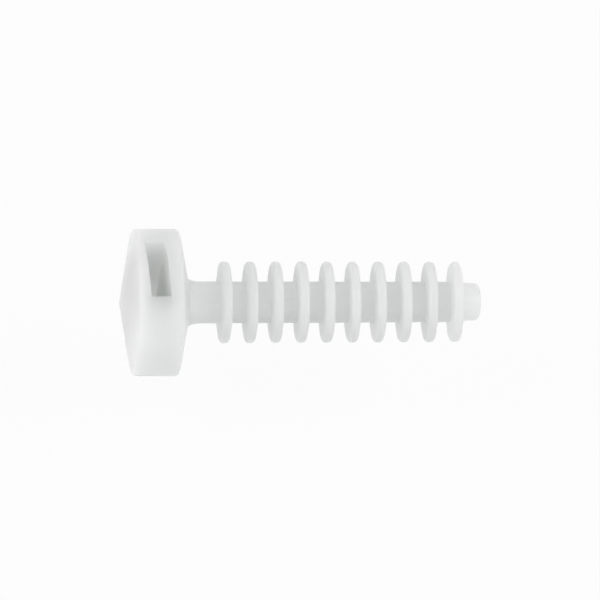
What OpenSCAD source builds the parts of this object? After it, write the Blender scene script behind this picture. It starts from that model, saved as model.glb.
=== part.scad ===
// Cable tie mount: a push-in masonry plug with a round head for one cable tie, moulded in one piece.
// Units are millimetres. X runs along the plug, from the head (-X) to the nose (+X).
// The origin is on the plug's axis, where the head's back face meets the shank. Z runs along the tie slot.

/* [Head] */
// Diameter of the head
head_d = 17.1; // [14:0.1:24]
// Length of the straight rim, along the axis
rim_l = 5.2; // [4:0.1:8]
// Slope of the front face, from the rim up to the point in the middle, in degrees
front_slope = 10.6; // [0:0.1:20]
// Slope of the back face, from the rim up to the shank, in degrees
back_slope = 11.3; // [0:0.1:20]
// Radius on the rim's front edge
front_round = 0.6; // [0.1:0.05:1.2]
// Radius on the rim's back edge
back_round = 0.45; // [0.1:0.05:1.2]

/* [Tie slot] */
// Thickness of the slot, along the axis
slot_t = 2.4; // [1.5:0.1:3]
// Width of the slot, across the head
slot_w = 7; // [4:0.1:9]
// Distance of the slot's middle in front of the rim's middle
slot_shift = 0.3; // [0:0.05:0.6]
// Lean of the slot's long sides away from square to the axis, in degrees
slot_lean = 4; // [0:0.5:5]
// Radius on the two short edges of each slot mouth
mouth_round = 0.35; // [0.1:0.05:0.6]

/* [Shank] */
// Diameter of the shank at the head
shank_d = 4.9; // [4:0.1:6]
// Diameter of the shank at the last rib
shank_end_d = 4.7; // [4:0.1:6]
// Length of the flare where the shank leaves the head
flare_l = 1.3; // [0.5:0.1:2]
// Radius of that flare
flare_r = 2.9; // [2:0.1:4]

/* [Ribs] */
// Number of ribs
rib_count = 10; // [6:1:12]
// Diameter over the ribs
rib_d = 9.5; // [8.5:0.1:10]
// Diameter over the last rib, which enters the hole first
rib_end_d = 9.34; // [8.5:0.02:10]
// Thickness of a rib near its edge
rib_t = 1.05; // [0.6:0.05:1.2]
// Thickness of a rib at the shank
rib_root_t = 1.25; // [0.8:0.05:1.6]
// Radius on a rib's two edges
rib_round = 0.45; // [0.1:0.05:0.5]
// Distance from the head's back face to the first rib's middle
first_rib = 4.25; // [3:0.05:6]
// Distance from one rib to the next
rib_pitch = 3; // [2.5:0.1:4]

/* [Nose] */
// Length of the nose past the middle of the last rib
nose_l = 2.9; // [2:0.1:6]
// Diameter of the nose at the last rib
nose_d = 4.55; // [3.6:0.05:4.6]
// Diameter of the nose at its end, before the rounding
nose_end_d = 4.25; // [3.2:0.05:4.6]
// Radius on the nose's end
nose_round = 0.7; // [0.2:0.1:1.2]

/* [Hidden] */
head_r = head_d / 2;
shank_r = shank_d / 2;
// Where the flare starts on the head's back face, found on the straight line along that face
flare_h = flare_r - sqrt(pow(flare_r, 2) - pow(flare_l, 2));
flare_x = -flare_h * tan(back_slope);
flare_y = shank_r + flare_h;
// Rim edges, from the back face's slope up to the shank
rim_back_x = -(head_r - shank_r) * tan(back_slope);
rim_front_x = rim_back_x - rim_l;
// Point of the front face
front_x = rim_front_x - head_r * tan(front_slope);
// Middle of the slot
slot_x = (rim_back_x + rim_front_x) / 2 - slot_shift;
// A thin rib leaves less room for the radius on its edges
rib_edge_r = min(rib_round, rib_t / 2 - 0.05);
nose_taper = atan((nose_d - nose_end_d) / 2 / nose_l);
last_rib = first_rib + (rib_count - 1) * rib_pitch;
nose_x = last_rib + nose_l;
// Centre of a mouth edge's radius, which touches both the slot's side and the rim
mouth_y = slot_w / 2 + mouth_round;
mouth_z = sqrt(pow(head_r - mouth_round, 2) - pow(mouth_y, 2));
// How far cutting shapes run past what they cut
past = 1;

$fn = 96;

function rib_x(i) = first_rib + i * rib_pitch;
function rib_r(i) = (rib_d + (rib_end_d - rib_d) * i / (rib_count - 1)) / 2;

// Profiles are half sections of the round parts: x runs along the axis, y is the radius.

// What a radius r takes off a corner at the origin, whose faces lead away at angles a and b
module corner_cut(r, a, b) {
  half = (b - a) / 2;
  mid = a + half;
  reach = r / tan(half);
  centre = [r / sin(half) * cos(mid), r / sin(half) * sin(mid)];
  difference() {
    polygon([
      -0.5 * centre,
      [reach * cos(a) - past * cos(mid), reach * sin(a) - past * sin(mid)],
      [reach * cos(a), reach * sin(a)],
      centre,
      [reach * cos(b), reach * sin(b)],
      [reach * cos(b) - past * cos(mid), reach * sin(b) - past * sin(mid)]
    ]);
    translate(centre)
      circle(r = r);
  }
}

module head_profile() {
  polygon([
    [front_x, 0],
    [rim_front_x, head_r],
    [rim_back_x, head_r],
    [flare_x, flare_y],
    [flare_x, 0]
  ]);
}

module head_rounding() {
  translate([rim_front_x, head_r])
    corner_cut(front_round, -90 - front_slope, 0);
  translate([rim_back_x, head_r])
    corner_cut(back_round, 180, 270 + back_slope);
}

// Shank with a straight flare at the head, which the flare's radius then hollows
module shank_profile() {
  polygon([
    [flare_x - past, 0],
    [flare_x - past, shank_r],
    [flare_x, flare_y],
    [flare_l, shank_r],
    [last_rib, shank_end_d / 2],
    [last_rib, 0]
  ]);
}

module flare_rounding() {
  intersection() {
    translate([flare_x, shank_r])
      square([flare_l - flare_x, flare_h]);
    translate([flare_l, shank_r + flare_r])
      circle(r = flare_r);
  }
}

// One rib of radius r, middle at x = 0
module rib_profile(r) {
  polygon([
    [-rib_root_t / 2, 0],
    [-rib_root_t / 2, shank_r],
    [-rib_t / 2, r],
    [rib_t / 2, r],
    [rib_root_t / 2, shank_r],
    [rib_root_t / 2, 0]
  ]);
}

module rib_rounding(r) {
  flank = atan((rib_root_t - rib_t) / 2 / (r - shank_r));
  translate([-rib_t / 2, r])
    corner_cut(rib_edge_r, -90 - flank, 0);
  translate([rib_t / 2, r])
    corner_cut(rib_edge_r, 180, 270 + flank);
}

module nose_profile() {
  polygon([
    [last_rib, 0],
    [last_rib, nose_d / 2],
    [nose_x, nose_end_d / 2],
    [nose_x, 0]
  ]);
}

module nose_rounding() {
  translate([nose_x, nose_end_d / 2])
    corner_cut(nose_round, 180 - nose_taper, 270);
}

module body_profile() {
  difference() {
    union() {
      head_profile();
      shank_profile();
      for (i = [0:rib_count - 1])
        translate([rib_x(i), 0])
          rib_profile(rib_r(i));
      nose_profile();
    }
    head_rounding();
    flare_rounding();
    for (i = [0:rib_count - 1])
      translate([rib_x(i), 0])
        rib_rounding(rib_r(i));
    nose_rounding();
  }
}

// Slot seen along the plug's axis, with the edges of both mouths rounded
module slot_end_view() {
  square([slot_w, 2 * (head_r + past)], center = true);
  for (turn = [0, 180])
    rotate(turn)
      for (flip = [0, 1])
        mirror([flip, 0])
          difference() {
            polygon([
              [slot_w / 2 - past, mouth_z],
              [slot_w / 2 - past, head_r + past],
              [mouth_y * (1 + past / mouth_z), mouth_z + past],
              [mouth_y, mouth_z]
            ]);
            translate([mouth_y, mouth_z])
              circle(r = mouth_round);
          }
}

// Slot seen along the tie: two leaning long sides
module slot_top_view() {
  lean = (head_r + past) * tan(slot_lean);
  polygon([
    [-slot_t / 2 + lean, -head_r - past],
    [slot_t / 2 + lean, -head_r - past],
    [slot_t / 2 - lean, head_r + past],
    [-slot_t / 2 - lean, head_r + past]
  ]);
}

// The passage for the tie, straight through the head and over the plug's axis
module tie_slot() {
  intersection() {
    translate([slot_x, 0, 0])
      linear_extrude(2 * (head_r + past), center = true)
        slot_top_view();
    translate([slot_x, 0, 0])
      rotate([90, 0, 90])
        linear_extrude(2 * slot_t, center = true)
          slot_end_view();
  }
}

module tie_mount() {
  color([0.93, 0.94, 0.91])
  difference() {
    rotate([0, 90, 0])
      rotate_extrude()
        mirror([1, -1])
          body_profile();
    tie_slot();
  }
}

tie_mount();
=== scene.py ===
import math

import bpy
from mathutils import Matrix, Vector

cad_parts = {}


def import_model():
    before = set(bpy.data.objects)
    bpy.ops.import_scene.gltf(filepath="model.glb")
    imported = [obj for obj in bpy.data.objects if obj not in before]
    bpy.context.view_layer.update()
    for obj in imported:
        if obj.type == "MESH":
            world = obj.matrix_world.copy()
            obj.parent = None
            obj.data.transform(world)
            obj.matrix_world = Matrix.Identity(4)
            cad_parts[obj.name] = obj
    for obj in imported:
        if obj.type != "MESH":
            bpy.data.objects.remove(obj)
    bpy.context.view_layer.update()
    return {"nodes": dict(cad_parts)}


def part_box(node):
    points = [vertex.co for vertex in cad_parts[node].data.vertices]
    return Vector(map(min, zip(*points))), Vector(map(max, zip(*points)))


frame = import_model()

# All lengths are in metres. The plug's axis runs along +X and the tie slot along Z.

# Camera: it looks down on the plug, rolled about the plug's axis from the slot towards -Y,
# and swung towards the front of the head. The width of the picture is taken at the plug.
SWING = math.radians(6.6)
ROLL = math.radians(30.5)
CAMERA_TILT = math.radians(0.12)
CAMERA_DISTANCE = 1.2
PICTURE_WIDTH = 0.06977
SENSOR_WIDTH = 36
AIM_ALONG = 0.01313
AIM_UP = 0.00026

BACK = Vector((
    -math.sin(SWING),
    -math.sin(ROLL) * math.cos(SWING),
    math.cos(ROLL) * math.cos(SWING),
))
UP = Vector((0, math.cos(ROLL), math.sin(ROLL)))
RIGHT = UP.cross(BACK)

# The plug is held by its wall, so the floor is a little below it.
FLOOR_GAP = 0.012
FLOOR_HALF = 1.5
# Share of the floor's white that is its own, and not lit by the lamps.
FLOOR_GLOW = 0.9

# Strength of the room light on the plug.
WORLD_LIGHT = 0.47
# Soft boxes: place, and power in watts.
BOX_SIZE = 0.40
BOX_AIM = Vector((0.013, 0, 0))
BOXES = {
    "box_left_low": ((-0.55, 0.0, 0.10), 1.25),
    "box_left_high": ((-0.38, -0.05, 0.40), 0.46),
    "box_right_high": ((0.38, -0.05, 0.40), 0.84),
    "box_right_near": ((0.36, -0.42, 0.18), 0.42),
    "box_far": ((0.0, 0.50, 0.28), 0.28),
}

# Nylon: two tones of its cloudiness, roughness range, height of the grain, depth of scattering.
NYLON_DARK = (0.855, 0.876, 0.865, 1)
NYLON_LIGHT = (0.878, 0.896, 0.887, 1)
NYLON_ROUGHNESS = (0.36, 0.52)
GRAIN_HEIGHT = 0.00006
SCATTER_DEPTH = 0.012
SCATTER_RADIUS = (1.0, 1.05, 1.0)
NYLON_IOR = 1.53


def new_material(name):
    material = bpy.data.materials.new(name)
    material.use_nodes = True
    material.node_tree.nodes.clear()
    return material, material.node_tree.nodes, material.node_tree.links


def noise(nodes, links, coords, scale, detail, roughness=0.5):
    node = nodes.new("ShaderNodeTexNoise")
    node.inputs["Scale"].default_value = scale
    node.inputs["Detail"].default_value = detail
    node.inputs["Roughness"].default_value = roughness
    links.new(coords.outputs["Object"], node.inputs["Vector"])
    return node


def nylon():
    """Natural nylon: milky, so light scatters deep into it, and satin from the mould."""
    material, nodes, links = new_material("natural_nylon")
    out = nodes.new("ShaderNodeOutputMaterial")
    shader = nodes.new("ShaderNodeBsdfPrincipled")
    coords = nodes.new("ShaderNodeTexCoord")

    clouds = noise(nodes, links, coords, 160, 3)
    tone = nodes.new("ShaderNodeValToRGB")
    tone.color_ramp.elements[0].position = 0.35
    tone.color_ramp.elements[0].color = NYLON_DARK
    tone.color_ramp.elements[1].position = 0.65
    tone.color_ramp.elements[1].color = NYLON_LIGHT
    links.new(clouds.outputs["Fac"], tone.inputs["Fac"])
    links.new(tone.outputs["Color"], shader.inputs["Base Color"])

    patches = noise(nodes, links, coords, 700, 4)
    gloss = nodes.new("ShaderNodeMapRange")
    gloss.inputs["To Min"].default_value = NYLON_ROUGHNESS[0]
    gloss.inputs["To Max"].default_value = NYLON_ROUGHNESS[1]
    links.new(patches.outputs["Fac"], gloss.inputs["Value"])
    links.new(gloss.outputs["Result"], shader.inputs["Roughness"])

    grain = noise(nodes, links, coords, 4500, 3, 0.6)
    bump = nodes.new("ShaderNodeBump")
    bump.inputs["Strength"].default_value = 0.12
    bump.inputs["Distance"].default_value = GRAIN_HEIGHT
    links.new(grain.outputs["Fac"], bump.inputs["Height"])
    links.new(bump.outputs["Normal"], shader.inputs["Normal"])

    shader.inputs["IOR"].default_value = NYLON_IOR
    shader.inputs["Specular IOR Level"].default_value = 0.4
    shader.inputs["Subsurface Weight"].default_value = 1.0
    shader.inputs["Subsurface Radius"].default_value = SCATTER_RADIUS
    shader.inputs["Subsurface Scale"].default_value = SCATTER_DEPTH
    links.new(shader.outputs["BSDF"], out.inputs["Surface"])
    return material


def seen_directly(nodes, links):
    """1 for rays from the camera, glossy rays and transmission rays, and 0 for any other."""
    rays = nodes.new("ShaderNodeLightPath")
    glossy = nodes.new("ShaderNodeMath")
    glossy.operation = "MAXIMUM"
    links.new(rays.outputs["Is Camera Ray"], glossy.inputs[0])
    links.new(rays.outputs["Is Glossy Ray"], glossy.inputs[1])
    through = nodes.new("ShaderNodeMath")
    through.operation = "MAXIMUM"
    links.new(glossy.outputs[0], through.inputs[0])
    links.new(rays.outputs["Is Transmission Ray"], through.inputs[1])
    return through


def floor_paper():
    """White paper, shown mostly as plain white, and lit for the rest, which keeps the shadow."""
    material, nodes, links = new_material("white_paper")
    out = nodes.new("ShaderNodeOutputMaterial")
    paper = nodes.new("ShaderNodeBsdfDiffuse")
    paper.inputs["Color"].default_value = (0.9, 0.9, 0.9, 1)
    glow = nodes.new("ShaderNodeEmission")
    glow.inputs["Strength"].default_value = 1.0
    share = nodes.new("ShaderNodeMath")
    share.operation = "MULTIPLY"
    share.inputs[1].default_value = FLOOR_GLOW
    links.new(seen_directly(nodes, links).outputs[0], share.inputs[0])
    mix = nodes.new("ShaderNodeMixShader")
    links.new(share.outputs[0], mix.inputs["Fac"])
    links.new(paper.outputs["BSDF"], mix.inputs[1])
    links.new(glow.outputs["Emission"], mix.inputs[2])
    links.new(mix.outputs["Shader"], out.inputs["Surface"])
    return material


def floor(height):
    half = FLOOR_HALF
    mesh = bpy.data.meshes.new("floor")
    corners = [
        (-half, -half, height),
        (half, -half, height),
        (half, half, height),
        (-half, half, height),
    ]
    mesh.from_pydata(corners, [], [(0, 1, 2, 3)])
    mesh.materials.append(floor_paper())
    obj = bpy.data.objects.new("floor", mesh)
    bpy.context.scene.collection.objects.link(obj)


def world():
    """Plain white where it is seen, and WORLD_LIGHT where it lights the plug."""
    made = bpy.data.worlds.new("studio")
    made.use_nodes = True
    nodes, links = made.node_tree.nodes, made.node_tree.links
    nodes.clear()
    out = nodes.new("ShaderNodeOutputWorld")
    room = nodes.new("ShaderNodeBackground")
    room.inputs["Color"].default_value = (1, 1, 1, 1)
    room.inputs["Strength"].default_value = WORLD_LIGHT
    seen = nodes.new("ShaderNodeBackground")
    seen.inputs["Color"].default_value = (1, 1, 1, 1)
    seen.inputs["Strength"].default_value = 1.0
    mix = nodes.new("ShaderNodeMixShader")
    links.new(seen_directly(nodes, links).outputs[0], mix.inputs["Fac"])
    links.new(room.outputs["Background"], mix.inputs[1])
    links.new(seen.outputs["Background"], mix.inputs[2])
    links.new(mix.outputs["Shader"], out.inputs["Surface"])
    bpy.context.scene.world = made


def soft_boxes():
    for name, (place, power) in BOXES.items():
        light = bpy.data.lights.new(name, "AREA")
        light.shape = "DISK"
        light.size = BOX_SIZE
        light.energy = power
        obj = bpy.data.objects.new(name, light)
        obj.location = place
        obj.rotation_mode = "QUATERNION"
        obj.rotation_quaternion = (BOX_AIM - Vector(place)).to_track_quat("-Z", "Y")
        bpy.context.scene.collection.objects.link(obj)


def camera():
    data = bpy.data.cameras.new("camera")
    data.sensor_width = SENSOR_WIDTH
    data.lens = SENSOR_WIDTH * CAMERA_DISTANCE / PICTURE_WIDTH
    data.clip_start = 0.1
    data.clip_end = 10
    obj = bpy.data.objects.new("camera", data)
    aim = Vector((AIM_ALONG, 0, 0)) + AIM_UP * UP
    place = aim + CAMERA_DISTANCE * BACK
    axes = Matrix((RIGHT, UP, BACK)).transposed().to_4x4()
    obj.matrix_world = Matrix.Translation(place) @ axes @ Matrix.Rotation(-CAMERA_TILT, 4, "Z")
    bpy.context.scene.collection.objects.link(obj)
    bpy.context.scene.camera = obj


plug = frame["nodes"]["tie_mount"]
for material_slot in plug.material_slots:
    material_slot.material = nylon()

low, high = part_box("tie_mount")
floor(low.z - FLOOR_GAP)
world()
soft_boxes()
camera()
bpy.context.scene.view_settings.view_transform = "Standard"
